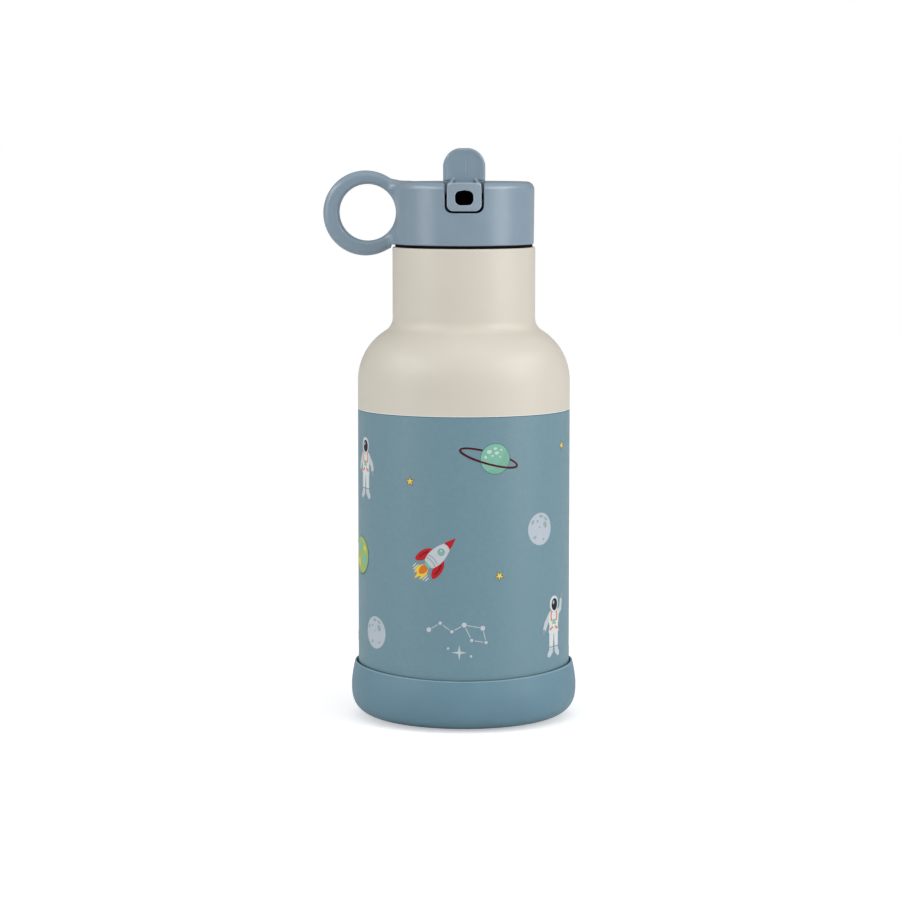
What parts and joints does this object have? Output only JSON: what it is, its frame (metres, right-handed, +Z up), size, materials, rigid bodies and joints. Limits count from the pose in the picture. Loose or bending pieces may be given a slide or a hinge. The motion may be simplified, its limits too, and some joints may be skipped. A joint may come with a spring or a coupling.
{
  "type": "kids water bottle",
  "caption": "Insulated steel straw bottle for children with a silicone boot, a screw lid with a round carry loop and a flip-up spout with a thumb tab.",
  "frame": {"origin": "centre of the boot's flat underside", "axes": "+Z up along the bottle's axis, -Y towards the drinking side, -X towards the carry loop"},
  "size_m": [0.0835, 0.0746, 0.1881],
  "materials": {
    "boot_silicone": "matte moulded silicone",
    "cream_coat": "satin powder coat",
    "print_film": "satin heat-transfer print",
    "steel": "spun and drawn stainless steel",
    "solder": "cast seal bead",
    "getter_metal": "pressed pellet",
    "foil": "bright foil",
    "gasket_silicone": "dark silicone",
    "lid_plastic": "satin moulded polypropylene",
    "plug_plastic": "satin moulded polypropylene",
    "spout_plastic": "satin moulded polypropylene",
    "clear_silicone": "frosted silicone",
    "pin_steel": "ground stainless pin",
    "straw_plastic": "frosted polypropylene"
  },
  "bodies": {
    "bottle": {"silicone_boot": "boot_silicone", "outer_shell": "cream_coat", "print_film": "print_film", "base_cup": "steel", "base_cover": "steel", "vacuum_seal_bead": "solder", "getter": "getter_metal", "foil_wrap": "foil", "inner_flask": "steel", "inner_base": "steel"},
    "gasket": {"neck_gasket": "gasket_silicone"},
    "lid": {"lid_shell": "lid_plastic", "lid_plug": "plug_plastic", "spout_seat_seal": "clear_silicone", "spout_pivot_pins": "pin_steel", "vent_valve": "clear_silicone", "straw": "straw_plastic"},
    "spout": {"spout": "spout_plastic"}
  },
  "joints": [
    {"name": "lid_rise", "type": "slide", "parent": "bottle", "child": "gasket", "axis": [0, 0, 1], "range_m": [0, 0.008]},
    {"name": "lid_turn", "type": "hinge", "parent": "gasket", "child": "lid", "pos_m": [0, 0, 0.156], "axis": [0, 0, 1], "range_deg": [0, 720]},
    {"name": "spout_flip", "type": "hinge", "parent": "lid", "child": "spout", "pos_m": [0, 0, 0.1725], "axis": [-1, 0, 0], "range_deg": [0, 90]}
  ],
  "couplings": [
    {"joint": "lid_rise", "follows": "lid_turn", "m_per_rad": 0.00063662}
  ]
}
